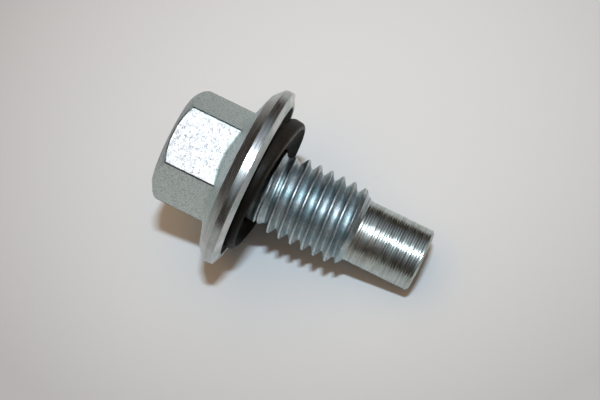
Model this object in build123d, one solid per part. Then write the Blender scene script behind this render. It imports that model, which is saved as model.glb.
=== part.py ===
from build123d import *
from math import cos, radians, sin, tan
import os

# Oil drain plug with a hexagon flange head, an M12 x 1.75 right-hand thread, a plain pilot
# and a loose rubber seal ring. The plug stands on the top of its head: its axis is Z, the
# origin is the centre of the head's flat top, and the pilot points up. Millimetres.

# Hexagon head
WRENCH_SIZE = 14.6
HEAD_HEIGHT = 12.85
HEX_EDGE_ROUND = 0.4
HEAD_TOP_D = 13.3
HEAD_CHAMFER_SLOPE = 30.0

# Washer flange, from its seating face back towards the hexagon
FLANGE_D = 26.1
SEAT_D = 23.15
SEAT_CHAMFER_H = 0.6
RIM_H = 1.15
RIM_BEVEL_D = 23.2
RIM_BEVEL_H = 1.35
FLANGE_TOP_SLOPE = 18.5
FLARE_START_D = 18.0
FLARE_R = 6.0
FLARE_END_SLOPE = 60.0

# Recess for the seal ring, which leaves a narrow lip of the seating face
RECESS_D = 22.4
RECESS_DEPTH = 1.45
RECESS_EDGE = 0.1
SHANK_ROOT_CHAMFER = 0.35

# Shank, thread and pilot, with heights above the seating face
SHANK_D = 10.6
SHANK_LENGTH = 2.1
SHANK_END_CHAMFER_H = 0.3
UNDER_HEAD_LENGTH = 25.0
THREAD_D = 11.72
THREAD_PITCH = 1.75
THREAD_DEPTH = 1.11
THREAD_START = 0.8
RUN_IN_START = 3.55
RUN_IN_LENGTH = 0.85
THREAD_FULL_END = 13.0
RUN_OUT_LENGTH = 1.6
RUN_OUT_D = 10.9
PILOT_START = 15.3
PILOT_D = 9.0
PILOT_EDGE = 0.3

# Crest and root flats of the thread, as parts of its pitch
CREST_SHARE = 1 / 8
ROOT_SHARE = 1 / 8

# How deep the ridge's foot is sunk into the core, and how far the trimming rings reach past it
THREAD_OVERLAP = 0.1
TRIM_REACH = 0.5

# Seal ring, loose in the recess and lifted on one side. Its front face is dished inside a ridge.
SEAL_D = 20.0
SEAL_BORE_CLEARANCE = 0.4
SEAL_FLOOR_CLEARANCE = 0.08
SEAL_THICKNESS = 2.5
SEAL_BACK_ROUND = 1.05
SEAL_FRONT_ROUND = 0.75
SEAL_SHOULDER_FLATS = 3
SEAL_BORE_EDGE = 0.35
SEAL_DISH = 0.6
SEAL_TILT = 5.4
SEAL_HIGH_SIDE = 153.0


def height(above_seat):
    """Z of a point given by its height above the flange's seating face."""
    return HEAD_HEIGHT + above_seat


def hexagon():
    """The hexagon prism with rounded edges, cut back by a cone round its flat top."""
    outline = RegularPolygon(WRENCH_SIZE / 2, 6, major_radius=False)
    outline = fillet(outline.vertices(), HEX_EDGE_ROUND)
    prism = extrude(outline, HEAD_HEIGHT - SEAT_CHAMFER_H - RIM_H)
    top_r = HEAD_TOP_D / 2
    reach = WRENCH_SIZE
    cone_h = (reach - top_r) * tan(radians(HEAD_CHAMFER_SLOPE))
    envelope = make_face(Polyline(
        (0, 0), (top_r, 0), (reach, cone_h), (reach, cone_h + HEAD_HEIGHT), (0, cone_h + HEAD_HEIGHT),
        close=True,
    ))
    return prism & revolve(Plane.XZ * envelope, Axis.Z)


def turned_body():
    """Everything round: flared collar, washer flange with its recess, shank, core and pilot."""
    slope = radians(FLANGE_TOP_SLOPE)
    end = radians(FLARE_END_SLOPE)
    rim_top = -SEAT_CHAMFER_H - RIM_H
    bevel_top = rim_top - RIM_BEVEL_H
    flare_r = FLARE_START_D / 2
    flare_z = bevel_top - (RIM_BEVEL_D / 2 - flare_r) * tan(slope)
    arc_r = flare_r + FLARE_R * sin(slope)
    arc_z = flare_z - FLARE_R * cos(slope)

    def on_flare(angle):
        return (arc_r - FLARE_R * sin(angle), height(arc_z + FLARE_R * cos(angle)))

    flare_end = on_flare(end)
    flare = ThreePointArc(flare_end, on_flare((slope + end) / 2), on_flare(slope))
    seat_r = SEAT_D / 2
    recess_r = RECESS_D / 2
    flange = Polyline(
        flare @ 1,
        (RIM_BEVEL_D / 2, height(bevel_top)),
        (FLANGE_D / 2, height(rim_top)),
        (FLANGE_D / 2, height(-SEAT_CHAMFER_H)),
        (seat_r, height(0)),
        (recess_r + RECESS_EDGE, height(0)),
        (recess_r, height(-RECESS_EDGE)),
        (recess_r, height(-RECESS_DEPTH)),
        (SHANK_D / 2 + SHANK_ROOT_CHAMFER, height(-RECESS_DEPTH)),
        (SHANK_D / 2, height(SHANK_ROOT_CHAMFER - RECESS_DEPTH)),
    )
    core_r = THREAD_D / 2 - THREAD_DEPTH
    core_start = SHANK_LENGTH + SHANK_END_CHAMFER_H
    stem = Polyline(
        flange @ 1,
        (SHANK_D / 2, height(SHANK_LENGTH)),
        (core_r, height(core_start)),
        (core_r, height(PILOT_START - abs(core_r - PILOT_D / 2))),
        (PILOT_D / 2, height(PILOT_START)),
        (PILOT_D / 2, height(UNDER_HEAD_LENGTH - PILOT_EDGE)),
        (PILOT_D / 2 - PILOT_EDGE, height(UNDER_HEAD_LENGTH)),
        (0, height(UNDER_HEAD_LENGTH)),
        (0, flare_end[1]),
        flare_end,
    )
    profile = make_face([flare, *flange.edges(), *stem.edges()])
    return revolve(Plane.XZ * profile, Axis.Z)


def turned_ring(*outline):
    """A ring about Z from its outline of radii and heights above the seating face."""
    points = [(radius, height(above_seat)) for radius, above_seat in outline]
    return revolve(Plane.XZ * make_face(Polyline(*points, close=True)), Axis.Z)


def thread_trims():
    """Rings that cut the thread back to its run-in cone and to its run-out cone."""
    crest_r = THREAD_D / 2
    inner_r = crest_r - THREAD_DEPTH - TRIM_REACH
    outer_r = crest_r + TRIM_REACH
    run_in_rise = RUN_IN_LENGTH / (crest_r - SHANK_D / 2)
    run_out_rise = RUN_OUT_LENGTH / (crest_r - RUN_OUT_D / 2)
    run_in = turned_ring(
        (inner_r, -RECESS_DEPTH - TRIM_REACH),
        (outer_r, -RECESS_DEPTH - TRIM_REACH),
        (outer_r, RUN_IN_START + RUN_IN_LENGTH + TRIM_REACH * run_in_rise),
        (SHANK_D / 2, RUN_IN_START),
        (SHANK_D / 2, SHANK_LENGTH),
        (inner_r, SHANK_LENGTH),
    )
    run_out = turned_ring(
        (outer_r, THREAD_FULL_END - TRIM_REACH * run_out_rise),
        (outer_r, UNDER_HEAD_LENGTH),
        (inner_r, UNDER_HEAD_LENGTH),
        (inner_r, PILOT_START),
        (PILOT_D / 2, PILOT_START),
        (RUN_OUT_D / 2, THREAD_FULL_END + RUN_OUT_LENGTH),
    )
    return run_in, run_out


def thread_ridge():
    """One right-hand ridge of trapezoid section, swept along a helix and trimmed at both ends."""
    crest_r = THREAD_D / 2
    core_r = crest_r - THREAD_DEPTH
    crest_half = THREAD_PITCH * CREST_SHARE / 2
    foot_half = THREAD_PITCH * (1 - ROOT_SHARE) / 2
    sunk_half = foot_half + (foot_half - crest_half) / THREAD_DEPTH * THREAD_OVERLAP
    section = make_face(Polyline(
        (core_r - THREAD_OVERLAP, -sunk_half),
        (crest_r, -crest_half),
        (crest_r, crest_half),
        (core_r - THREAD_OVERLAP, sunk_half),
        close=True,
    ))
    turns = int((PILOT_START - THREAD_START) / THREAD_PITCH)
    path = Helix(THREAD_PITCH, turns * THREAD_PITCH, core_r)
    ridge = Pos(0, 0, height(THREAD_START)) * sweep(Plane.XZ * section, path=path, is_frenet=True)
    for trim in thread_trims():
        ridge = ridge - trim
    return ridge


def plug():
    """The whole plug as one solid."""
    return turned_body() + thread_ridge() + hexagon()


def shoulder(centre_r, centre_z, radius, first_angle):
    """Points on a quarter circle that turns one side of the ring into the next."""
    steps = range(SEAL_SHOULDER_FLATS + 1)
    angles = [radians(first_angle + 90 * step / SEAL_SHOULDER_FLATS) for step in steps]
    return [(centre_r + radius * cos(a), centre_z + radius * sin(a)) for a in angles]


def seal_ring():
    """Ring with rounded outer shoulders and a dished front face, its low side on the recess floor."""
    outer_r = SEAL_D / 2
    bore_r = SHANK_D / 2 + SEAL_BORE_CLEARANCE
    half = SEAL_THICKNESS / 2
    back_r = outer_r - SEAL_BACK_ROUND
    back_z = half - SEAL_BACK_ROUND
    section = make_face(Polyline(
        (bore_r, SEAL_BORE_EDGE - half),
        (bore_r + SEAL_BORE_EDGE, -half),
        *shoulder(back_r, -back_z, SEAL_BACK_ROUND, -90),
        *shoulder(outer_r - SEAL_FRONT_ROUND, half - SEAL_FRONT_ROUND, SEAL_FRONT_ROUND, 0),
        (bore_r + SEAL_BORE_EDGE, half - SEAL_DISH),
        (bore_r, half - SEAL_DISH - SEAL_BORE_EDGE),
        close=True,
    ))
    ring = revolve(Plane.XZ * section, Axis.Z)
    tilt = radians(SEAL_TILT)
    drop = back_r * sin(tilt) + back_z * cos(tilt) + SEAL_BACK_ROUND
    middle = height(-RECESS_DEPTH + SEAL_FLOOR_CLEARANCE + drop)
    return Pos(0, 0, middle) * Rot(0, 0, SEAL_HIGH_SIDE) * Rot(0, -SEAL_TILT, 0) * ring


def main():
    os.makedirs("parts", exist_ok=True)
    for name, shape in (("plug", plug()), ("seal_ring", seal_ring())):
        export_step(shape, f"parts/{name}.step")


main()
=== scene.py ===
from math import cos, radians, sin

import bpy
import numpy as np
from bpy.props import FloatProperty, FloatVectorProperty, PointerProperty
from mathutils import Matrix, Vector


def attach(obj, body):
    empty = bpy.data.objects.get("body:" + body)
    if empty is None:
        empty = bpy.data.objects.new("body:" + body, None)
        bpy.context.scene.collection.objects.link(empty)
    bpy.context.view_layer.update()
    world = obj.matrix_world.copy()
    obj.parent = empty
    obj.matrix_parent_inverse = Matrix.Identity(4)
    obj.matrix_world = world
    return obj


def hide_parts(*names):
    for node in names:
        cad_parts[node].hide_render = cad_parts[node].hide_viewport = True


bl_info = {
    "name": "Oil Drain Plug",
    "version": (1, 0, 0),
    "blender": (4, 5, 0),
    "location": "3D View > Sidebar > Drain Plug",
    "description": "Hexagon flange drain plug with an M12 thread and a rubber seal ring",
    "category": "Object",
}

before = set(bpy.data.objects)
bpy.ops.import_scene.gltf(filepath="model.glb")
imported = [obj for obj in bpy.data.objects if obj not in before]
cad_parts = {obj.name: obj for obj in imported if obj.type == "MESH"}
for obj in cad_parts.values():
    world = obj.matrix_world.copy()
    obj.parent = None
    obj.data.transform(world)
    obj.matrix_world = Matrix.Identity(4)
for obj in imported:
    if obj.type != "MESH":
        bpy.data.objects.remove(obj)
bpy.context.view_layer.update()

MM = 0.001
FULL_TURN = 2 * np.pi


def linear(hex_colour):
    """Linear red, green and blue of an sRGB hex colour."""
    parts = np.array([int(hex_colour[i:i + 2], 16) for i in (1, 3, 5)]) / 255
    return tuple(np.where(parts <= 0.04045, parts / 12.92, ((parts + 0.055) / 1.055) ** 2.4))


def length(name, description, millimetres):
    """A length property, given in millimetres and kept in metres."""
    return FloatProperty(
        name=name, description=description, default=millimetres * MM, soft_min=0.0,
        precision=5, subtype="DISTANCE", unit="LENGTH",
    )


def angle(name, description, degrees):
    """An angle property, given in degrees."""
    return FloatProperty(name=name, description=description, default=radians(degrees), subtype="ANGLE", unit="ROTATION")


def colour(name, description, hex_colour):
    """A colour property, given as sRGB hex."""
    return FloatVectorProperty(
        name=name, description=description, default=linear(hex_colour), subtype="COLOR", size=3, min=0.0, max=1.0,
    )


def number(name, description, value):
    """A plain number property."""
    return FloatProperty(name=name, description=description, default=value)


class HeadSizes(bpy.types.PropertyGroup):
    wrench_size: length("Across flats", "Width of the hexagon across its flats", 14.6)
    height: length("Head height", "From the flat top to the flange's seating face", 12.85)
    top_d: length("Top diameter", "Diameter of the flat circle on the hexagon's top", 13.3)
    chamfer_slope: angle("Chamfer slope", "Slope of the cone that cuts the hexagon's corners", 30)
    corner_round: length("Corner round", "Radius of the hexagon's upright edges", 0.3)
    chamfer_round: length("Chamfer round", "Radius of the edge between chamfer and flats", 0.25)
    tip_round: length("Tip round", "Radius of the same edge at the hexagon's corners", 1.1)
    collar_round: length("Collar round", "Size of the fillet between flats and collar", 0.5)
    flange_d: length("Flange diameter", "Largest diameter of the flange", 26.08)
    seat_d: length("Seat diameter", "Outer diameter of the seating face", 23.15)
    seat_chamfer_h: length("Seat chamfer height", "Height of the chamfer under the rim", 0.6)
    rim_h: length("Rim height", "Height of the flange's cylindrical rim", 1.15)
    bevel_d: length("Bevel diameter", "Inner diameter of the bevel above the rim", 23.2)
    bevel_h: length("Bevel height", "Height of the bevel above the rim", 1.35)
    top_slope: angle("Flange slope", "Slope of the flange's upper cone", 18.5)
    flare_start_d: length("Flare diameter", "Where the cone turns into the flared collar", 18.0)
    flare_r: length("Flare radius", "Radius of the collar's hollow", 6.0)
    recess_d: length("Recess diameter", "Diameter of the recess for the seal ring", 22.4)
    recess_depth: length("Recess depth", "Depth of the recess for the seal ring", 1.45)
    forging: length("Forging unevenness", "How far the forged surface wanders", 0.012)


class StemSizes(bpy.types.PropertyGroup):
    shank_d: length("Shank diameter", "Diameter of the plain shank", 10.6)
    shank_l: length("Shank length", "Length of the plain shank", 2.05)
    shank_end_h: length("Shank end", "Height of the chamfer at the shank's end", 0.2)
    stem_l: length("Stem length", "From the seating face to the pilot's end", 25.0)
    thread_d: length("Thread diameter", "Crest diameter of the thread", 11.72)
    pitch: length("Pitch", "Thread pitch", 1.75)
    thread_depth: length("Thread depth", "Height of the thread from root to crest", 1.11)
    thread_start: length("Thread start", "Height of the first crest above the seating face, on the +X side", 0.8)
    crest_round: length("Crest round", "Blend at the crest's edges", 0.16)
    root_round: length("Root round", "Blend at the root's edges", 0.22)
    run_in_start: length("Run-in start", "Where the crest starts to rise, above the seating face", 3.55)
    run_in_l: length("Run-in", "Length over which the crest rises to full height", 0.85)
    full_end: length("Full thread end", "Where the crest starts to fall, above the seating face", 13.0)
    run_out_l: length("Run-out", "Length over which the crest falls", 1.6)
    run_out_d: length("Run-out diameter", "Crest diameter at the end of the run-out", 10.9)
    pilot_start: length("Pilot start", "Where the plain pilot starts, above the seating face", 15.3)
    pilot_d: length("Pilot diameter", "Diameter of the plain pilot", 9.0)
    pilot_edge: length("Pilot chamfer", "Chamfer at the pilot's end", 0.3)
    feed: length("Turning feed", "Spacing of the turning grooves on the pilot", 0.36)
    groove_depth: length("Groove depth", "Depth of the turning grooves on the pilot", 0.042)


class RingSizes(bpy.types.PropertyGroup):
    outer_d: length("Outer diameter", "Outer diameter of the seal ring", 20.0)
    bore_d: length("Bore", "Inner diameter of the seal ring", 11.4)
    thickness: length("Thickness", "Thickness of the seal ring", 2.5)
    back_round: length("Back round", "Radius of the outer shoulder on the recess side", 1.05)
    front_round: length("Front round", "Radius of the outer shoulder on the open side", 0.75)
    dish: length("Dish", "How far the front face falls from its ridge to the bore", 0.6)
    bore_edge: length("Bore edge", "Radius of the ring's inner edges", 0.35)
    floor_gap: length("Floor gap", "Gap between the ring's low side and the recess floor", 0.08)
    tilt: angle("Tilt", "How far the loose ring is tilted", 5.4)
    high_side: angle("High side", "Direction of the ring's lifted side, from +X", 153)


class Finishes(bpy.types.PropertyGroup):
    zinc: colour("Zinc", "Clear-blue zinc plating", "#f4efee")
    zinc_deep: colour("Zinc, greyer", "Patches of the same plating that are a little greyer", "#efe9e8")
    # Every face but the front flat takes this greener tone; the front flat, which mirrors the key lamp, keeps the
    # pinker one: a painted tint of its highlight
    zinc_off_highlight: colour("Zinc, greenish", "Plating where the passivation film is thicker", "#eef6f2")
    zinc_dull: colour("Zinc, dull", "Flecks where the forging skin shows through the plating", "#6f7b76")
    # Dark lines along the hexagon's edges: painted shade, for the dark reflection on the rounded edges
    zinc_painted_edge_shade: colour("Zinc, worn through", "Dark lines along the hexagon's edges", "#2c241e")
    turned: colour("Turned zinc", "Plating on turned steel, a little duller", "#c6d0cb")
    turned_deep: colour("Turned zinc, greenish", "Where the film on the pilot is thicker", "#b4bcba")
    turned_violet: colour("Turned zinc, violet", "Where the film on the flange shows violet", "#b4b4b6")
    turned_dull: colour("Turned zinc, residue", "Dark residue in the turning grooves", "#6c645b")
    # Painted reflection: the brown on the pilot's side below the highlight
    turned_painted_brown: colour("Turned zinc, brown", "Residue where the tool tore the pilot's steel", "#a08d7c")
    thread: colour("Rolled zinc", "Plating on the burnished thread", "#dce1e2")
    thread_deep: colour("Rolled zinc, bluish", "Where the film on the thread is thicker", "#b2c6cb")
    thread_dull: colour("Rolled zinc, dull", "Darker specks in the thread's plating", "#5f6d70")
    rubber: colour("Rubber", "Black nitrile rubber", "#151311")
    rubber_bloom: colour("Rubber bloom", "Grey bloom and dust on the rubber", "#242220")
    # Painted highlight: the ridge on the ring's lifted side is lightened grey
    rubber_painted_highlight: colour("Rubber, rubbed", "The ridge of the ring where it is rubbed grey", "#7d796f")


class StageSettings(bpy.types.PropertyGroup):
    paper: colour("Table", "Matt white table at its brightest", "#dde8ef")
    # Painted falloff of the light: the table passes to this darker tone away from a point near the plug
    paper_painted_falloff: colour("Table, far", "Matt white table further away", "#b8c0c6")
    backdrop: colour("Backdrop", "Pale background", "#c1c2c3")
    air: colour("Room light", "Warm light of the room", "#fabf82")
    ceiling: colour("Ceiling", "Ceiling that the metal mirrors overhead", "#9b9ea3")
    room_low: colour("Room, low", "Dark furniture that the metal mirrors near the horizon", "#453b32")
    room_high: colour("Room, high", "Dim wall that the metal mirrors above it", "#74777e")
    camera_distance: length("Camera distance", "From the camera to the plug's middle", 206.27)
    camera_azimuth: angle("Camera azimuth", "Direction of the camera round the plug, from +X", -82.22)
    camera_elevation: angle("Camera elevation", "Height of the camera over the plug's cross plane", 2.44)
    camera_roll: angle("Camera roll", "Turn of the camera about its line of sight", 116.13)
    lens: number("Lens", "Focal length on a 36 mm wide sensor, in millimetres", 90.0)
    room_strength: number("Room strength", "Strength of the world's light", 1.1)
    key_light: colour("Key light", "Slightly blue light of the key lamp", "#e9f6ff")
    key_power: number("Key power", "Power of the key lamp in watts", 1.37)
    key_width: length("Key width", "Width of the key lamp, along the picture", 50.0)
    key_height: length("Key height", "Height of the key lamp", 16.0)
    fill_light: colour("Fill light", "Slightly blue light of the fill lamp", "#e6ecff")
    fill_power: number("Fill power", "Power of the fill lamp in watts", 0.045)
    fill_width: length("Fill width", "Width of the fill lamp, along the picture", 400.0)
    fill_height: length("Fill height", "Height of the fill lamp", 300.0)


class DrainPlug(bpy.types.PropertyGroup):
    head: PointerProperty(type=HeadSizes)
    stem: PointerProperty(type=StemSizes)
    ring: PointerProperty(type=RingSizes)
    finish: PointerProperty(type=Finishes)
    stage: PointerProperty(type=StageSettings)


# Shapes

# Rounded corners: steps of an arc, the most that it takes of a run, and how far outside it the support points lie
ARC_STEPS = 6
CORNER_ROWS = ARC_STEPS + 3
ARC_SHARE = 0.4
SUPPORT_LEAD = 0.05 * MM
SUPPORT_SHARE = 0.2
TINY = 1e-12

# Unevenness: how many waves are added up, how far they differ in length, and what brings their mean back to about 1
RIPPLE_WAVES = 14
RIPPLE_SPREAD = (0.6, 1.5)
RIPPLE_GAIN = 2.2


def smooth_max(a, b, blend):
    """The larger of a and b, with the crossing rounded: plus blend * h * h / 4, where h falls from 1 at the crossing
    to 0 where a and b differ by blend."""
    near = np.maximum(blend - np.abs(a - b), 0) / blend
    return np.maximum(a, b) + near * near * blend / 4


def smooth_min(a, b, blend):
    """The smaller of a and b, rounded in the same way."""
    return -smooth_max(-a, -b, blend)


def rounded(corners, radii, steps=ARC_STEPS):
    """A polyline in the radius-height plane with its inner corners rounded, for one outline or one for each azimuth.

    Where two runs meet with a turn t, the arc of radius R starts R * tan(t / 2) before the corner; its points are the
    arc's centre plus the start's offset from it, turned by 0 to t. An arc takes at most its share of the shorter run.
    A point just outside each end of the arc keeps the flat runs flat when they are shaded."""
    before, at, after = corners[..., :-2, :], corners[..., 1:-1, :], corners[..., 2:, :]
    run_in, run_out = at - before, after - at
    length_in = np.linalg.norm(run_in, axis=-1, keepdims=True)
    length_out = np.linalg.norm(run_out, axis=-1, keepdims=True)
    run_in, run_out = run_in / length_in, run_out / length_out
    cross = run_in[..., :1] * run_out[..., 1:] - run_in[..., 1:] * run_out[..., :1]
    turn = np.arctan2(cross, (run_in * run_out).sum(-1, keepdims=True))
    radius = np.asarray(radii)[..., None] * np.ones_like(turn)
    reach = radius * np.tan(np.abs(turn) / 2)
    room = ARC_SHARE * np.minimum(length_in, length_out)
    radius = radius * np.minimum(1, room / np.maximum(reach, TINY))
    reach = np.minimum(reach, room)
    start = at - run_in * reach
    side = np.concatenate([-run_in[..., 1:], run_in[..., :1]], -1) * np.sign(turn)
    centre = start + side * radius
    swing = turn[..., None, :] * np.linspace(0, 1, steps + 1)[:, None]
    arm = (start - centre)[..., None, :]
    turned = np.concatenate([
        arm[..., :1] * np.cos(swing) - arm[..., 1:] * np.sin(swing),
        arm[..., :1] * np.sin(swing) + arm[..., 1:] * np.cos(swing),
    ], -1)
    arc = centre[..., None, :] + turned
    lead = np.minimum(SUPPORT_LEAD, SUPPORT_SHARE * room)
    first, last = start - run_in * lead, at + run_out * (reach + lead)
    points = np.concatenate([first[..., None, :], arc, last[..., None, :]], -2)
    points = points.reshape(points.shape[:-3] + (-1, 2))
    return np.concatenate([corners[..., :1, :], points, corners[..., -1:, :]], -2)


def revolved(outline, azimuths):
    """Points of a turned shape: the outline's radius r and height z at each azimuth a, as (r cos a, r sin a, z).
    The outline may differ from azimuth to azimuth. The result has one row of points for each outline point."""
    outline = np.broadcast_to(outline, (len(azimuths),) + outline.shape[-2:])
    radius, height = outline[..., 0].T, outline[..., 1].T
    return np.stack([radius * np.cos(azimuths), radius * np.sin(azimuths), height], -1)


def ripple(points, wavelength, seed):
    """Smooth unevenness between about -1 and 1: the mean of some sine waves of nearly that wavelength, each along its
    own seeded direction and with its own phase, times a gain."""
    draw = np.random.default_rng(seed)
    waves = draw.normal(size=(RIPPLE_WAVES, 3))
    tightness = draw.uniform(*RIPPLE_SPREAD, (RIPPLE_WAVES, 1))
    waves *= FULL_TURN / wavelength * tightness / np.linalg.norm(waves, axis=1, keepdims=True)
    phases = draw.uniform(0, FULL_TURN, RIPPLE_WAVES)
    return np.sin(points @ waves.T + phases).mean(-1) * RIPPLE_GAIN


def pushed(points, amount):
    """A grid of points moved along its own outward normal, which is the cross product of the steps along a row and
    from row to row."""
    along = np.roll(points, -1, 1) - np.roll(points, 1, 1)
    across = np.gradient(points, axis=0)
    normal = np.cross(along, across)
    normal /= np.maximum(np.linalg.norm(normal, axis=-1, keepdims=True), TINY * MM)
    return points + normal * amount[..., None]


def skin(name, rows, poles=None):
    """A closed mesh from rows of points that run round the axis. Neighbouring rows are joined by quads. With poles, a
    fan closes each end; without, the last row is joined to the first."""
    count, around = rows.shape[:2]
    grid = np.arange(count * around).reshape(count, around)
    ahead = np.roll(grid, -1, 1)
    low, high = (grid[:-1], grid[1:]) if poles else (grid, np.roll(grid, -1, 0))
    low_ahead, high_ahead = (ahead[:-1], ahead[1:]) if poles else (ahead, np.roll(ahead, -1, 0))
    faces = np.stack([low, low_ahead, high_ahead, high], -1).reshape(-1, 4).tolist()
    points = rows.reshape(-1, 3)
    if poles:
        first, last = count * around, count * around + 1
        points = np.concatenate([points, np.array(poles, float)])
        faces += np.stack([np.full(around, first), ahead[0], grid[0]], -1).tolist()
        faces += np.stack([grid[-1], ahead[-1], np.full(around, last)], -1).tolist()
    mesh = bpy.data.meshes.new(name)
    mesh.from_pydata(points.tolist(), [], faces)
    mesh.shade_smooth()
    mesh.update()
    piece = bpy.data.objects.new(name, mesh)
    bpy.context.scene.collection.objects.link(piece)
    return piece


def mark(piece, name, values):
    """Stores a number for each point of the piece under that name, for its material to read. The points that are left
    over, which are the pilot's tip or the poles, get the last number."""
    values = np.asarray(values, float).reshape(-1)
    missing = len(piece.data.vertices) - len(values)
    attribute = piece.data.attributes.new(name, "FLOAT", "POINT")
    attribute.data.foreach_set("value", np.pad(values, (0, missing), mode="edge"))


def finish_rows(piece, around, finishes, fans=True):
    """Gives bands of the piece's rows their materials: finishes holds pairs of a first row and its material. The fans
    that close the two ends come last in the mesh, and get the first and the last material."""
    slots = []
    for _, material in finishes:
        if material.name not in slots:
            slots.append(material.name)
            piece.data.materials.append(material)
    row = np.arange(len(piece.data.polygons)) // around
    index = np.zeros(len(row), np.int32)
    for first_row, material in finishes:
        index[row >= first_row] = slots.index(material.name)
    if fans:
        index[-2 * around:-around] = slots.index(finishes[0][1].name)
    piece.data.polygons.foreach_set("material_index", index)


# Materials


def add(tree, kind, inputs=None, **settings):
    """Adds a shader node. settings are its properties, and inputs its sockets' values or the sockets they come from."""
    node = tree.nodes.new("ShaderNode" + kind)
    for key, value in settings.items():
        setattr(node, key, value)
    for key, value in (inputs or {}).items():
        if isinstance(value, bpy.types.NodeSocket):
            tree.links.new(value, node.inputs[key])
        else:
            node.inputs[key].default_value = value
    return node


def blank(name):
    """A new material with an empty tree and its output node."""
    material = bpy.data.materials.new(name)
    material.use_nodes = True
    tree = material.node_tree
    tree.nodes.clear()
    return material, tree, add(tree, "OutputMaterial")


def per_mm(millimetres):
    """Noise scale whose grains are about that wide."""
    return 1 / (millimetres * MM)


def wander(tree, vector, grain, between, stretched=(0.3, 0.7), **texture):
    """A value that wanders over the surface between two numbers: noise with grains of about that many millimetres,
    whose values in the second range are stretched over the first. texture holds further inputs of the noise."""
    value = add(tree, "TexNoise", {
        "Vector": vector, "Scale": per_mm(grain), "Detail": 3.0, "Roughness": 0.55, **texture,
    }).outputs["Fac"]
    return add(tree, "MapRange", {
        "Value": value, "From Min": stretched[0], "From Max": stretched[1], "To Min": between[0], "To Max": between[1],
    }).outputs[0]


def grained(tree, vector, grain, depth, under=None, **texture):
    """The normal of a skin with grains of about that many millimetres and that depth, on top of another normal."""
    height = add(tree, "TexNoise", {
        "Vector": vector, "Scale": per_mm(grain), "Detail": 3.0, "Roughness": 0.55, **texture,
    }).outputs["Fac"]
    inputs = {"Strength": 1.0, "Distance": depth * MM, "Height": height}
    if under:
        inputs["Normal"] = under
    return add(tree, "Bump", inputs).outputs[0]


def layered(tree, first, *covers):
    """A colour in layers: the first tone, and over it each cover's tone as far as its share says."""
    tone = (*first, 1)
    for share, cover in covers:
        mix = add(tree, "Mix", {"Factor": share, "A": tone, "B": (*cover, 1)}, data_type="RGBA")
        tone = mix.outputs["Result"]
    return tone


def zinc_shader(tree, output, tones, place, roughness, normal, patch, *shares, **metal):
    """The plating's common part: metal whose colour drifts between the first two tones, in patches of about that many
    millimetres. Each share is how much the next tone covers of what lies under it. metal holds further inputs."""
    drift = wander(tree, place, patch, (0.0, 1.0), (0.35, 0.65), Detail=4.0)
    surface = add(tree, "BsdfPrincipled", {
        "Base Color": layered(tree, tones[0], *zip((drift, *shares), tones[1:])),
        "Metallic": 1.0, "Roughness": roughness, "Normal": normal, **metal,
    })
    tree.links.new(surface.outputs[0], output.inputs["Surface"])


def forged_zinc(finish):
    """Carbon steel, cold forged, then barrel plated with zinc and clear-blue passivated."""
    # Forging and tumbling leave a matt skin: grains of 0.28 mm, pits of 0.42 mm and small dull flecks. The attribute
    # film is 1 everywhere but on the front flat, which mirrors the key lamp and keeps the pinker tone: a painted tint
    # of its highlight. The attribute edge is 1 on the hexagon's edges, where thin dark lines are painted shade, for the
    # dark reflection on the rounded edges
    material, tree, output = blank("zinc_plated_forged_steel")
    place = add(tree, "TexCoord").outputs["Object"]
    edge = add(tree, "Attribute", attribute_name="edge").outputs["Fac"]
    film = add(tree, "Attribute", attribute_name="film").outputs["Fac"]
    grains = grained(tree, place, 0.28, 0.03, Detail=5.0, Roughness=0.65)
    pits = wander(tree, place, 0.42, (0.0, 1.0), (0.33, 0.43), Roughness=0.6, Distortion=0.4)
    pitted = add(tree, "Bump", {"Strength": 1.0, "Distance": 0.022 * MM, "Height": pits, "Normal": grains}).outputs[0]
    roughness = wander(tree, place, 0.5, (0.54, 0.68), Detail=5.0, Roughness=0.65)
    flecks = wander(tree, place, 0.19, (0.0, 0.75), (0.56, 0.66), Detail=2.0, Roughness=0.6, Distortion=0.6)
    mottle = wander(tree, place, 0.26, (0.0, 0.34), (0.42, 0.62), Detail=4.0, Roughness=0.75)
    flecks = add(tree, "Math", {0: flecks, 1: mottle}, operation="MAXIMUM").outputs[0]
    broken = wander(tree, place, 0.35, (0.55, 1.0), (0.3, 0.5), Detail=4.0, Roughness=0.7)
    # Painted shade: thin dark lines on the hexagon's edges, broken up by noise
    painted_edge_shade = add(tree, "Math", {0: edge, 1: broken}, operation="MULTIPLY").outputs[0]
    tones = (finish.zinc, finish.zinc_deep, finish.zinc_off_highlight, finish.zinc_dull, finish.zinc_painted_edge_shade)
    zinc_shader(tree, output, tones, place, roughness, pitted, 2.5, film, flecks, painted_edge_shade)
    return material


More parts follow.
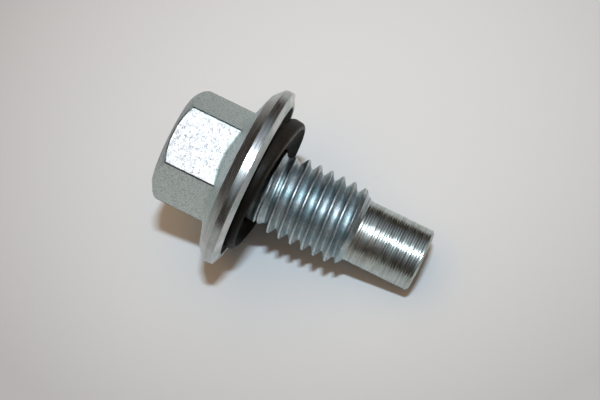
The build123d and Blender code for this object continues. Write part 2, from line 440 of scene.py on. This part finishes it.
def turned_zinc(finish, name, deep, groove, depth, satin, dull):
    """Carbon steel, turned on a lathe, then zinc plated: fine grooves run round the axis."""
    # The noise reads radius and height finely and the azimuth hardly at all, so it draws rings; groove is their
    # spacing and depth their depth, in millimetres. Real ones are about half as wide, too fine to show in the render.
    # satin is the range of the roughness, which is higher where the tool was blunt. Dark residue stays in some of the
    # grooves; dull is its strength. A grain of 0.16 mm is the plating's own. A further mark makes the pilot rougher
    # beside the thread and, on the side seen below the highlight, browner: the brown is a painted reflection
    material, tree, output = blank(name)
    place = add(tree, "TexCoord").outputs["Object"]
    parts = add(tree, "SeparateXYZ", {"Vector": place}).outputs
    flat = add(tree, "CombineXYZ", {"X": parts[0], "Y": parts[1]}).outputs[0]
    radius = add(tree, "VectorMath", {0: flat}, operation="LENGTH").outputs["Value"]
    slow = add(tree, "Math", {0: parts[0], 1: 0.07}, operation="MULTIPLY").outputs[0]
    rings = add(tree, "CombineXYZ", {"X": radius, "Y": parts[2], "Z": slow}).outputs[0]
    grooves = grained(tree, rings, groove, depth, Detail=2.0, Roughness=0.5)
    grains = grained(tree, place, 0.16, 0.006, grooves, Roughness=0.6)
    roughness = wander(tree, rings, groove * 1.2, satin, (0.36, 0.64), Roughness=0.6)
    residue = wander(tree, rings, groove * 0.9, (0.0, dull), (0.46, 0.62), Detail=2.0, Roughness=0.6)
    rough_and_painted_brown = add(tree, "Attribute", attribute_name="rough_and_painted_brown").outputs["Fac"]
    patches = wander(tree, place, 0.9, (0.3, 1.0), (0.4, 0.6), Detail=4.0, Roughness=0.6)
    rough_and_painted_brown = add(tree, "Math", {0: rough_and_painted_brown, 1: patches}, operation="MULTIPLY").outputs[0]
    roughness = add(tree, "Math", {0: rough_and_painted_brown, 1: 0.2, 2: roughness}, operation="MULTIPLY_ADD").outputs[0]
    # The brown is a painted reflection on the pilot's side below the highlight
    brown = add(tree, "Math", {0: rough_and_painted_brown, 1: 0.6}, operation="MULTIPLY").outputs[0]
    tones = (finish.turned, deep, finish.turned_dull, finish.turned_painted_brown)
    zinc_shader(tree, output, tones, place, roughness, grains, 3.0, residue, brown)
    return material


def rolled_zinc(finish):
    """Carbon steel, thread rolled between dies, then zinc plated: burnished, smoother than the forged skin."""
    # Rolling draws the metal round the axis, so highlights are long in that direction. The attribute drop is 0 at the
    # crest and 1 at the root: the crest is burnished and glossier, and a thin line beside it is darker, more in some
    # places than others. Specks of 0.28 mm are the plating's crystals; real ones are finer, too fine to show in the
    # render
    material, tree, output = blank("zinc_plated_rolled_thread")
    place = add(tree, "TexCoord").outputs["Object"]
    drop = add(tree, "Attribute", attribute_name="drop").outputs["Fac"]
    crest, line_outer, line_inner = (
        add(tree, "MapRange", {
            "Value": drop, "From Min": start, "From Max": end, "To Min": low, "To Max": 1 - low,
        }).outputs[0] for start, end, low in ((0.03, 0.1, 1.0), (0.08, 0.16, 0.0), (0.2, 0.34, 1.0))
    )
    marks = grained(tree, place, 0.2, 0.014, Detail=4.0, Roughness=0.65)
    satin = wander(tree, place, 0.5, (0.31, 0.43), Detail=4.0, Roughness=0.6)
    roughness = add(tree, "Mix", {"Factor": crest, "A": satin, "B": 0.3}).outputs["Result"]
    line = add(tree, "Math", {0: line_outer, 1: line_inner}, operation="MULTIPLY").outputs[0]
    uneven = wander(tree, place, 1.4, (0.2, 0.85), (0.38, 0.62), Roughness=0.6)
    line = add(tree, "Math", {0: line, 1: uneven}, operation="MULTIPLY").outputs[0]
    specks = wander(tree, place, 0.28, (0.0, 0.4), (0.42, 0.62), Detail=4.0, Roughness=0.75)
    tangent = add(tree, "Tangent", direction_type="RADIAL", axis="Z").outputs[0]
    tones = (finish.thread, finish.thread_deep, finish.turned_dull, finish.thread_dull)
    zinc_shader(tree, output, tones, place, roughness, marks, 1.8, line, specks, Anisotropic=0.62, Tangent=tangent)
    return material


def moulded_rubber(finish, name, gloss):
    """Nitrile rubber, compression moulded: satin black with a faint grey bloom and a fine mould texture."""
    # A mark lightens the ridge on the lifted side, and faintly the ring's outside there, to grey: a painted highlight.
    # gloss is the specular level: low on the sides, and almost none on the dished face, which is dull from oil and dust
    material, tree, output = blank(name)
    place = add(tree, "TexCoord").outputs["Object"]
    bloom = wander(tree, place, 1.6, (0.0, 0.4), (0.45, 0.75), Detail=6.0, Roughness=0.65)
    ridge_highlight = add(tree, "Attribute", attribute_name="ridge_highlight").outputs["Fac"]
    patchy = wander(tree, place, 0.7, (0.4, 1.0))
    ridge_highlight = add(tree, "Math", {0: ridge_highlight, 1: patchy}, operation="MULTIPLY").outputs[0]
    rubber = add(tree, "BsdfPrincipled", {
        "Base Color": layered(tree, finish.rubber, (bloom, finish.rubber_bloom), (ridge_highlight, finish.rubber_painted_highlight)),
        "Metallic": 0.0, "Roughness": wander(tree, place, 0.8, (0.4, 0.55)), "IOR": 1.52, "Specular IOR Level": gloss,
        "Normal": grained(tree, place, 0.15, 0.006),
    })
    tree.links.new(rubber.outputs[0], output.inputs["Surface"])
    return material


# Pieces


HEX_SECTOR = radians(60)
HEX_HALF = radians(30)
TO_FRONT = radians(90)


def hexagon_azimuths(flat_steps, corner_steps, corner_width):
    """Azimuths of the grid's columns: even along each flat, and close together over each rounded corner, whose half
    width is given. -Y is the middle of the front flat."""
    flat = np.linspace(corner_width - HEX_HALF, HEX_HALF - corner_width, flat_steps)
    corner = HEX_HALF + np.linspace(-corner_width, corner_width, corner_steps + 1)[1:-1]
    sector = np.concatenate([flat, corner])
    return (sector[None, :] - TO_FRONT + HEX_SECTOR * np.arange(6)[:, None]).reshape(-1)


def hexagon_radius(azimuths, apothem, corner_round):
    """Radius of a hexagon with rounded corners: apothem / cos(a) along a flat, a being the angle from its middle, and
    within the corner the far crossing of the ray with the corner's circle."""
    off_flat = np.mod(azimuths + TO_FRONT + HEX_HALF, HEX_SECTOR) - HEX_HALF
    off_corner = HEX_HALF - np.abs(off_flat)
    centre = (apothem - corner_round) / cos(HEX_HALF)
    past_centre = np.sqrt(np.maximum(corner_round ** 2 - (centre * np.sin(off_corner)) ** 2, 0))
    circle = centre * np.cos(off_corner) + past_centre
    touch = np.arctan((apothem - corner_round) * np.tan(HEX_HALF) / apothem)
    return np.where(np.abs(off_flat) < touch, apothem / np.cos(off_flat), circle)


def make_head(sizes, finish):
    """The forged and turned head: hexagon, flared collar, washer flange and the recess under it.

    Each azimuth has its own outline: the flat top, the chamfer cone, the flat's radius, which passes into the
    collar's hollow arc by a smooth maximum, and then the turned flange, whose corners are rounded by arcs."""
    azimuths = hexagon_azimuths(flat_steps=31, corner_steps=10, corner_width=radians(1.9))
    wall = hexagon_radius(azimuths, sizes.wrench_size / 2, sizes.corner_round)
    top_r = sizes.top_d / 2
    seat_z = sizes.height
    rim_z = seat_z - sizes.seat_chamfer_h - sizes.rim_h
    bevel_z = rim_z - sizes.bevel_h
    flare_start_r = sizes.flare_start_d / 2
    flare_z = bevel_z - (sizes.bevel_d / 2 - flare_start_r) * np.tan(sizes.top_slope)
    arc_r = flare_start_r + sizes.flare_r * sin(sizes.top_slope)
    arc_z = flare_z - sizes.flare_r * cos(sizes.top_slope)

    centre_r, top_round, below_chamfer, wall_steps = 0.08 * top_r, 0.3 * MM, 1.6 * MM, 61
    chamfer_z = (wall - top_r) * np.tan(sizes.chamfer_slope)
    wall_start = chamfer_z + below_chamfer
    zero = np.zeros_like(wall)
    top = np.stack([
        np.stack([zero + centre_r, zero], -1), np.stack([zero + top_r, zero], -1),
        np.stack([wall, chamfer_z], -1), np.stack([wall, wall_start], -1),
    ], -2)
    to_tip = (wall - wall.min()) / (wall.max() - wall.min())
    edge_round = sizes.chamfer_round + (sizes.tip_round - sizes.chamfer_round) * to_tip ** 2
    top = rounded(top, np.stack([zero + top_round, edge_round], -1))

    share = np.linspace(0, 1, wall_steps + 1)[1:, None]
    wall_z = wall_start + share * (flare_z - wall_start)
    flare = arc_r - np.sqrt(np.maximum(sizes.flare_r ** 2 - (wall_z - arc_z) ** 2, 0))
    wall_r = smooth_max(wall + 0 * wall_z, flare, sizes.collar_round)
    walls = np.stack([wall_r.T, wall_z.T], -1)

    rim_r = sizes.flange_d / 2
    seat_r = sizes.seat_d / 2
    recess_r = sizes.recess_d / 2
    recess_z = seat_z - sizes.recess_depth
    inner_r, inner_z = 5.2 * MM, recess_z + 0.6 * MM    # where the head's skin ends, inside the shank
    corner_rounds = np.array([0.12, 0.08, 0.07, 0.05, 0.12, 0.12, 0.35]) * MM
    flange = rounded(np.array([
        (flare_start_r, flare_z), (sizes.bevel_d / 2, bevel_z), (rim_r, rim_z), (rim_r, seat_z - sizes.seat_chamfer_h),
        (seat_r, seat_z), (recess_r, seat_z), (recess_r, recess_z), (inner_r, recess_z), (inner_r, inner_z),
    ]), corner_rounds)[1:]
    flange = np.broadcast_to(flange, (len(azimuths),) + flange.shape)

    outline = np.concatenate([top, walls, flange], -2)
    rows = revolved(outline, azimuths)

    # Rows of the grid: the top ends with the arc of the chamfer's edge, a support row and the wall's first row. In the
    # flange the turned finish starts within the first corner, the coarse one within the rim's lower corner, and the
    # turned one again at the recess's floor
    top_rows = top.shape[-2]
    arc = slice(top_rows - CORNER_ROWS, top_rows - 2)
    arc_middle = 4
    edge_row = arc.start + arc_middle
    edge_end, collar_row = top_rows + 57, top_rows + 50
    flange_row = top_rows + wall_steps
    turned_row, coarse_row, floor_row = flange_row + 3, flange_row + 2 * CORNER_ROWS + 6, flange_row + 5 * CORNER_ROWS
    row = np.arange(len(rows))[:, None]

    # Thin dark lines of painted shade, for the dark reflection on the rounded edges, run down the hexagon's edges and
    # along the front flat's chamfer edge: full within half their width, and gone at one and a half. Beside the edges
    # the forging is jagged
    line, arc_line, jagged_reach = 0.12 * MM, 0.08 * MM, 0.9 * MM
    off_corner = np.abs(np.mod(azimuths + TO_FRONT, HEX_SECTOR) - HEX_HALF) * wall
    off_front = np.abs(azimuths + TO_FRONT)
    upright = (row >= edge_row) & (row < edge_end)
    edge_shade = upright * np.clip(1.5 - off_corner / line, 0, 1)
    along_arc = (np.arange(ARC_STEPS + 1) - arc_middle)[:, None] / ARC_STEPS
    along_arc = along_arc * edge_round * (np.pi / 2 - sizes.chamfer_slope)
    arc_shade = np.clip(1.6 - np.abs(along_arc) / arc_line, 0, 1) * (off_front < radians(30.5))
    edge_shade[arc] = np.maximum(edge_shade[arc], arc_shade)
    jagged = np.clip(1 - off_corner / jagged_reach, 0, 1) * upright * ripple(rows, 0.55 * MM, 8)

    # A greener tone lies everywhere but on the front flat, which mirrors the key lamp and keeps the pinker tone: a
    # painted tint of its highlight
    film = np.clip((off_front - radians(29)) / radians(2), 0, 1) + 0 * row
    film[:edge_row + 1] = 1
    film[collar_row:] = 1

    uneven = 0.6 * ripple(rows, 2.6 * MM, 3) + 0.4 * ripple(rows, 1.1 * MM, 4)
    rows = pushed(rows, (uneven + jagged) * (row < turned_row) * sizes.forging)
    rows[..., 2] = np.maximum(rows[..., 2], 0)
    head = skin("plug_head", rows, [(0, 0, 0), (0, 0, inner_z)])
    mark(head, "edge", edge_shade)
    mark(head, "film", film)
    turned = turned_zinc(
        finish, "zinc_plated_turned_flange", finish.turned_violet,
        groove=0.22, depth=0.005, satin=(0.21, 0.37), dull=0.2,
    )
    coarse = turned_zinc(
        finish, "zinc_plated_coarse_seat", finish.zinc,
        groove=0.3, depth=0.008, satin=(0.46, 0.62), dull=0.1,
    )
    finish_rows(head, len(azimuths), [
        (0, forged_zinc(finish)), (turned_row, turned), (coarse_row, coarse), (floor_row, turned),
    ])
    return head


def make_stem(sizes, seat_z, finish):
    """Shank, thread and pilot.

    The radius at azimuth a and height z is the crest radius less the thread's drop. The drop grows along the flank
    with the axial distance from the nearest crest line, z = start + pitch * (a / full turn + k), and is blended at
    crest and root. The ridge is then scaled between core and crest by the run-in's height at its own crest line, held
    under the run-out cone, and joined to the core by a smooth maximum. On the pilot the lathe's grooves are
    |sin(pi * (z / feed + a / full turn))| deep, one fine helix whose depth wanders from turn to turn."""
    azimuths = np.linspace(0, FULL_TURN, 144, endpoint=False)
    crest_r, core_r = sizes.thread_d / 2, sizes.thread_d / 2 - sizes.thread_depth
    shank_r, pilot_r, run_out_r = sizes.shank_d / 2, sizes.pilot_d / 2, sizes.run_out_d / 2

    # Rows: the shank's from inside the head, the thread's 30 to a pitch, and the pilot's 7 to a groove
    shank_z = np.linspace(-1.85, 1.5, 12) * MM
    thread_z = np.arange(1.6, 15.6, 0.058) * MM
    pilot_z = np.arange(15.6 * MM, 24.4 * MM, sizes.feed / 7)
    height = np.concatenate([shank_z, thread_z, pilot_z])[:, None]

    shank_end, start_full = sizes.shank_l, sizes.run_in_start + sizes.run_in_l
    run_out_end = sizes.full_end + sizes.run_out_l
    phase = (height - sizes.thread_start) / sizes.pitch - azimuths / FULL_TURN
    off_line = (phase - np.round(phase)) * sizes.pitch
    crest_z = height - off_line
    # The shank is undercut next to the head and has its full width only on a narrow land before its end
    hidden, undercut = 0.1 * MM, 0.12 * MM
    undercut_end, land_start, land_end = shank_end - 0.6 * MM, shank_end - 0.12 * MM, shank_end - 0.04 * MM
    run_in = np.interp(
        crest_z, [shank_end, sizes.run_in_start, start_full], [shank_r - hidden, shank_r, crest_r],
    )
    run_out = np.interp(
        height, [sizes.full_end, run_out_end, sizes.pilot_start], [crest_r, run_out_r, pilot_r],
    )
    core = np.interp(
        height, [
            undercut_end, land_start, land_end, shank_end + sizes.shank_end_h,
            sizes.pilot_start - (core_r - pilot_r), sizes.pilot_start,
        ], [shank_r - undercut, shank_r, shank_r, core_r, core_r, pilot_r],
    )
    run_out_blend, core_blend, plain_margin = 0.06 * MM, 0.1 * MM, 0.3 * MM
    crest_half, flank = sizes.pitch / 16, sizes.pitch * 3 / 8
    off_crest = np.abs(off_line)
    slant = (off_crest - crest_half) / flank * sizes.thread_depth
    drop = smooth_min(smooth_max(slant, 0 * slant, sizes.crest_round), sizes.thread_depth + 0 * slant, sizes.root_round)
    drop = drop - drop.min()
    ridge = core_r + (sizes.thread_depth - drop) * (run_in - core_r) / sizes.thread_depth
    ridge = smooth_min(ridge, run_out + 0 * drop, run_out_blend)
    radius = np.minimum(smooth_max(ridge, core + 0 * drop, core_blend), crest_r)
    plain = (height < shank_end - plain_margin) | (height > sizes.pilot_start + plain_margin)
    radius = np.where(plain, core, radius)

    # Each groove has a strength of its own, and they fade in just past the thread's end
    draw = np.random.default_rng(5)
    turns, weakest, strongest = 120, 0.3, 1.3
    fade_start, fade_length = sizes.pilot_start + 0.15 * MM, 0.4 * MM
    feed_count = height / sizes.feed
    cut = np.abs(np.sin(np.pi * (feed_count + azimuths / FULL_TURN)))
    strength = np.interp(feed_count, np.arange(turns), draw.uniform(weakest, strongest, turns))
    fade = np.clip((height - fade_start) / fade_length, 0, 1)
    radius = radius - cut * strength * fade * sizes.groove_depth
    body = np.stack([radius * np.cos(azimuths), radius * np.sin(azimuths), height + seat_z + 0 * radius], -1)

    end, tip_start, tip_round, pole_r = sizes.stem_l, 24.45 * MM, 0.06 * MM, 0.3 * MM
    tip = rounded(np.array([
        (pilot_r, tip_start), (pilot_r, end - sizes.pilot_edge), (pilot_r - sizes.pilot_edge, end), (pole_r, end),
    ]), np.array([tip_round, tip_round]), 4)
    tip[:, 1] += seat_z
    rows = np.concatenate([body, revolved(tip, azimuths)])
    stem = skin("plug_stem", rows, [(0, 0, seat_z + shank_z[0]), (0, 0, seat_z + end)])
    mark(stem, "drop", np.where(height > run_out_end, 1, drop / sizes.thread_depth))

    # Beside the thread the pilot is rougher and, on the side that is seen below the highlight, brown: a painted
    # reflection
    painted_brown_end, painted_brown_fade, painted_brown_side = sizes.pilot_start + 4.8 * MM, 1.6 * MM, radians(-68)
    rough_and_painted_brown = np.clip((painted_brown_end - height) / painted_brown_fade, 0, 1) * np.clip(np.cos(azimuths - painted_brown_side), 0, 1) ** 6
    mark(stem, "rough_and_painted_brown", rough_and_painted_brown)
    pilot_row = len(shank_z) + len(thread_z) - 8
    pilot = turned_zinc(
        finish, "zinc_plated_turned_pilot", finish.turned_deep,
        groove=0.34, depth=0.003, satin=(0.17, 0.33), dull=0.34,
    )
    finish_rows(stem, len(azimuths), [(0, rolled_zinc(finish)), (pilot_row, pilot)])
    return stem


def make_ring(sizes, seat_z, recess_depth, finish):
    """The loose seal ring: a section with round outer shoulders, whose front face falls towards the bore along the
    tangent of the front shoulder's circle, carried round the axis, then tilted and turned so that its lifted side
    points the right way."""
    azimuths = np.linspace(0, FULL_TURN, 180, endpoint=False)
    outer, bore, half = sizes.outer_d / 2, sizes.bore_d / 2, sizes.thickness / 2
    ridge_r = outer - sizes.front_round
    slope = np.arctan(sizes.dish / (ridge_r - bore - sizes.bore_edge))
    ridge_z = half + sizes.front_round * (1 / np.cos(slope) - 1)
    outer_z, bore_z = ridge_z - (ridge_r - np.array([outer, bore])) * np.tan(slope)
    middle_z = (bore_z - half) / 2
    corners = np.array([
        (bore, middle_z), (bore, -half), (outer, -half), (outer, outer_z), (bore, bore_z), (bore, middle_z),
    ])
    outline = rounded(corners, (sizes.bore_edge, sizes.back_round, sizes.front_round, sizes.bore_edge), 10)[:-1]
    ring = revolved(outline, azimuths)
    unevenness, wavelength = 0.01 * MM, 4 * MM
    ring = pushed(ring, ripple(ring, wavelength, 11) * unevenness)
    tilt, turn = sizes.tilt, sizes.high_side
    leaned = np.array([[cos(tilt), 0, -sin(tilt)], [0, 1, 0], [sin(tilt), 0, cos(tilt)]])
    turned = np.array([[cos(turn), -sin(turn), 0], [sin(turn), cos(turn), 0], [0, 0, 1]])
    round_r, round_z = outer - sizes.back_round, half - sizes.back_round
    drop = round_r * sin(tilt) + round_z * cos(tilt) + sizes.back_round
    middle = seat_z - recess_depth + sizes.floor_gap + drop
    ring = ring @ (turned @ leaned).T + np.array([0, 0, middle])
    piece = skin("rubber_ring", ring)

    # The ridge lies in the outline's third corner, and the dished face starts just past it. On the lifted side the
    # ridge, and faintly the ring's outside, is lightened grey: a painted highlight
    ridge_row, ridge_rows, dished_row, lifted_side = 35, 1.8, 37, radians(60)
    row = np.arange(len(outline))[:, None]
    ridge_highlight_share = np.exp(-((row - ridge_row) / ridge_rows) ** 2) + 0.1 * (row < ridge_row)
    mark(piece, "ridge_highlight", ridge_highlight_share * np.clip(np.cos(azimuths - lifted_side), 0, 1) ** 2)
    sides = moulded_rubber(finish, "moulded_nitrile_rubber", 0.07)
    dished = moulded_rubber(finish, "moulded_nitrile_rubber_dull", 0.006)
    finish_rows(piece, len(azimuths), [(0, sides), (dished_row, dished)], fans=False)
    return piece


class DRAINPLUG_OT_head(bpy.types.Operator):
    """Make the forged hexagon head with its collar and flange"""
    bl_idname = "drainplug.head"
    bl_label = "Head"

    def execute(self, context):
        plug = context.scene.drain_plug
        piece = make_head(plug.head, plug.finish)
        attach(piece, "root")
        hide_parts("plug")
        return {"FINISHED"}


class DRAINPLUG_OT_stem(bpy.types.Operator):
    """Make the shank, the rolled thread and the turned pilot"""
    bl_idname = "drainplug.stem"
    bl_label = "Stem"

    def execute(self, context):
        plug = context.scene.drain_plug
        piece = make_stem(plug.stem, plug.head.height, plug.finish)
        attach(piece, "root")
        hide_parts("plug")
        return {"FINISHED"}


class DRAINPLUG_OT_ring(bpy.types.Operator):
    """Make the loose rubber seal ring"""
    bl_idname = "drainplug.ring"
    bl_label = "Seal ring"

    def execute(self, context):
        plug = context.scene.drain_plug
        piece = make_ring(plug.ring, plug.head.height, plug.head.recess_depth, plug.finish)
        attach(piece, "root")
        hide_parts("seal_ring")
        return {"FINISHED"}


# Stage. The plug lies on a table on its flange rim and its pilot, so the table is a slanted plane in the row's frame.

PLUG_MIDDLE = Vector((-0.236, -0.016, 19.268)) * MM
TABLE_NORMAL = Vector((-0.22068, -0.9213, -0.32016)).normalized()
TABLE_OFFSET = -16.285 * MM
# Middle of the table's painted light falloff
TABLE_PAINTED_LIGHT_MIDDLE = Vector((-20.1, 18.06, 12.2)) * MM
TO_KEY = Vector((-0.16718, -0.98175, -0.09062)).normalized()
TO_FILL = Vector((-0.75, -0.55, -0.42)).normalized()
PICTURE_RIGHT = Vector((-0.44152, -0.02173, 0.89699))
KEY_DISTANCE = 450 * MM
FILL_DISTANCE = 500 * MM
TABLE_SIZE = 900 * MM
# Reach of the table's painted light falloff
TABLE_PAINTED_FALLOFF = 62 * MM
BAND_RADIUS = 650 * MM
BAND_LOW, BAND_HIGH = -1, 52    # degrees over the table
BAND_AROUND, BAND_UP = 64, 24
BAND_FADE = (0.42, 0.78)        # heights, as shares of the radius, between which its tone passes from low to high
SENSOR_WIDTH = 36.0


def table_frame():
    """A turned frame whose Z is the table's normal."""
    return TABLE_NORMAL.to_track_quat("Z", "Y").to_matrix().to_4x4()


def make_table(stage):
    """The table: a plane through the plug's contacts. It is clear from behind, so it hides nothing in other views."""
    side = TABLE_SIZE / 2
    steps = np.linspace(-side, side, 3)
    x, y = np.meshgrid(steps, steps)
    points = np.stack([x, y, 0 * x], -1).reshape(-1, 3)
    grid = np.arange(9).reshape(3, 3)
    faces = np.stack([grid[:-1, :-1], grid[:-1, 1:], grid[1:, 1:], grid[1:, :-1]], -1).reshape(-1, 4)
    mesh = bpy.data.meshes.new("table")
    mesh.from_pydata(points.tolist(), [], faces.tolist())
    foot = PLUG_MIDDLE - TABLE_NORMAL * (PLUG_MIDDLE.dot(TABLE_NORMAL) - TABLE_OFFSET)
    mesh.transform(Matrix.Translation(foot) @ table_frame())
    table = bpy.data.objects.new("table", mesh)
    bpy.context.scene.collection.objects.link(table)
    material, tree, output = blank("matt_white_table")
    place = add(tree, "TexCoord").outputs["Object"]
    # Painted falloff of the light: the table's tone darkens with the distance from a point near the plug
    off = add(tree, "VectorMath", {0: place, 1: tuple(TABLE_PAINTED_LIGHT_MIDDLE)}, operation="DISTANCE").outputs["Value"]
    off = add(tree, "Math", {0: off, 1: TABLE_PAINTED_FALLOFF}, operation="DIVIDE").outputs[0]
    share = add(tree, "Math", {0: off, 1: 2.0}, operation="POWER", use_clamp=True).outputs[0]
    tone = layered(tree, stage.paper, (share, stage.paper_painted_falloff))
    paper = add(tree, "BsdfPrincipled", {"Base Color": tone, "Roughness": 0.75})
    clear = add(tree, "BsdfTransparent")
    behind = add(tree, "NewGeometry").outputs["Backfacing"]
    mix = add(tree, "MixShader", {"Fac": behind, 1: paper.outputs[0], 2: clear.outputs[0]})
    tree.links.new(mix.outputs[0], output.inputs["Surface"])
    material.use_transparent_shadow = True
    mesh.materials.append(material)
    return table


def make_room(stage):
    """The dim room that the metal mirrors: a band round the table from its edge up to 52 degrees, clear to the camera.
    Its points are (cos e cos a, cos e sin a, sin e) times the radius."""
    around = np.linspace(0, FULL_TURN, BAND_AROUND, endpoint=False)
    up = np.radians(np.linspace(BAND_LOW, BAND_HIGH, BAND_UP))[:, None]
    points = np.stack([np.cos(up) * np.cos(around), np.cos(up) * np.sin(around), np.sin(up) + 0 * around], -1)
    points *= BAND_RADIUS
    grid = np.arange(BAND_UP * BAND_AROUND).reshape(BAND_UP, BAND_AROUND)
    ahead = np.roll(grid, -1, 1)
    faces = np.stack([grid[:-1], grid[1:], ahead[1:], ahead[:-1]], -1).reshape(-1, 4)
    mesh = bpy.data.meshes.new("room_band")
    mesh.from_pydata(points.reshape(-1, 3).tolist(), [], faces.tolist())
    mesh.shade_smooth()
    mesh.transform(Matrix.Translation(PLUG_MIDDLE) @ table_frame())
    room = bpy.data.objects.new("room_band", mesh)
    bpy.context.scene.collection.objects.link(room)
    material, tree, output = blank("dim_room")
    place = add(tree, "TexCoord").outputs["Object"]
    height = add(tree, "VectorMath", {0: place, 1: tuple(TABLE_NORMAL)}, operation="DOT_PRODUCT").outputs["Value"]
    low, high = (share * BAND_RADIUS for share in BAND_FADE)
    share = add(tree, "MapRange", {"Value": height, "From Min": low, "From Max": high}).outputs[0]
    glow = add(tree, "Emission", {"Color": layered(tree, stage.room_low, (share, stage.room_high)), "Strength": 1.0})
    clear = add(tree, "BsdfTransparent")
    seen = add(tree, "LightPath").outputs["Is Camera Ray"]
    mix = add(tree, "MixShader", {"Fac": seen, 1: glow.outputs[0], 2: clear.outputs[0]})
    tree.links.new(mix.outputs[0], output.inputs["Surface"])
    mesh.materials.append(material)
    return room


def make_lamp(name, direction, distance, power, light, width, height):
    """A soft rectangular lamp that looks at the plug's middle from the given direction, its width along the picture."""
    lamp = bpy.data.lights.new(name, "AREA")
    lamp.energy, lamp.color, lamp.shape, lamp.size, lamp.size_y = power, light, "RECTANGLE", width, height
    across = (PICTURE_RIGHT - direction * PICTURE_RIGHT.dot(direction)).normalized()
    turn = Matrix((across, direction.cross(across), direction)).transposed().to_4x4()
    piece = bpy.data.objects.new(name, lamp)
    piece.matrix_world = Matrix.Translation(PLUG_MIDDLE + direction * distance) @ turn
    bpy.context.scene.collection.objects.link(piece)


def make_world(stage):
    """Warm room light. The camera and glass see the pale backdrop instead, and gloss the ceiling."""
    world = bpy.data.worlds.new("studio")
    world.use_nodes = True
    tree = world.node_tree
    tree.nodes.clear()
    path = add(tree, "LightPath").outputs
    seen = add(tree, "Math", {0: path["Is Camera Ray"], 1: path["Is Transmission Ray"]}, operation="MAXIMUM").outputs[0]
    tone = layered(tree, stage.air, (path["Is Glossy Ray"], stage.ceiling), (seen, stage.backdrop))
    sky = add(tree, "Background", {"Color": tone, "Strength": stage.room_strength})
    add(tree, "OutputWorld", {"Surface": sky.outputs[0]})
    bpy.context.scene.world = world


def make_camera(stage):
    """The photograph's camera: on a line from the plug's middle at an azimuth and elevation, rolled about it."""
    across, rise, roll = stage.camera_azimuth, stage.camera_elevation, stage.camera_roll
    outward = Vector((cos(rise) * cos(across), cos(rise) * sin(across), sin(rise)))
    camera = bpy.data.cameras.new("camera")
    camera.lens, camera.sensor_width, camera.sensor_fit = stage.lens, SENSOR_WIDTH, "HORIZONTAL"
    camera.clip_start, camera.clip_end = 0.01, 10.0
    piece = bpy.data.objects.new("camera", camera)
    level = outward.to_track_quat("Z", "Y").to_matrix().to_4x4()
    piece.matrix_world = (
        Matrix.Translation(PLUG_MIDDLE + outward * stage.camera_distance) @ level @ Matrix.Rotation(roll, 4, "Z")
    )
    bpy.context.scene.collection.objects.link(piece)
    bpy.context.scene.camera = piece


class DRAINPLUG_OT_stage(bpy.types.Operator):
    """Make the table, the room's reflections, the lamps, the world and the camera"""
    bl_idname = "drainplug.stage"
    bl_label = "Stage"

    def execute(self, context):
        stage = context.scene.drain_plug.stage
        make_table(stage)
        make_room(stage)
        make_lamp(
            "key_lamp", TO_KEY, KEY_DISTANCE,
            stage.key_power, stage.key_light, stage.key_width, stage.key_height,
        )
        make_lamp(
            "fill_lamp", TO_FILL, FILL_DISTANCE,
            stage.fill_power, stage.fill_light, stage.fill_width, stage.fill_height,
        )
        make_world(stage)
        make_camera(stage)
        context.scene.view_settings.view_transform = "Standard"
        return {"FINISHED"}


class DRAINPLUG_PT_panel(bpy.types.Panel):
    """Lists the plug's pieces and their sizes"""
    bl_label = "Drain Plug"
    bl_idname = "DRAINPLUG_PT_panel"
    bl_space_type = "VIEW_3D"
    bl_region_type = "UI"
    bl_category = "Drain Plug"

    def draw(self, context):
        plug = context.scene.drain_plug
        for title, operator, group in (
            ("Head", "drainplug.head", plug.head),
            ("Stem", "drainplug.stem", plug.stem),
            ("Seal ring", "drainplug.ring", plug.ring),
            ("Finishes", None, plug.finish),
            ("Stage", "drainplug.stage", plug.stage),
        ):
            box = self.layout.box()
            box.label(text=title)
            for name in group.__annotations__:
                box.prop(group, name)
            if operator:
                box.operator(operator)


CLASSES = (
    HeadSizes, StemSizes, RingSizes, Finishes, StageSettings, DrainPlug,
    DRAINPLUG_OT_head, DRAINPLUG_OT_stem, DRAINPLUG_OT_ring, DRAINPLUG_OT_stage, DRAINPLUG_PT_panel,
)


def register():
    for each in CLASSES:
        bpy.utils.register_class(each)
    bpy.types.Scene.drain_plug = PointerProperty(type=DrainPlug)


def unregister():
    del bpy.types.Scene.drain_plug
    for each in reversed(CLASSES):
        bpy.utils.unregister_class(each)


def main():
    register()
    bpy.ops.drainplug.head()
    bpy.ops.drainplug.stem()
    bpy.ops.drainplug.ring()
    bpy.ops.drainplug.stage()


if __name__ == "__main__":
    main()
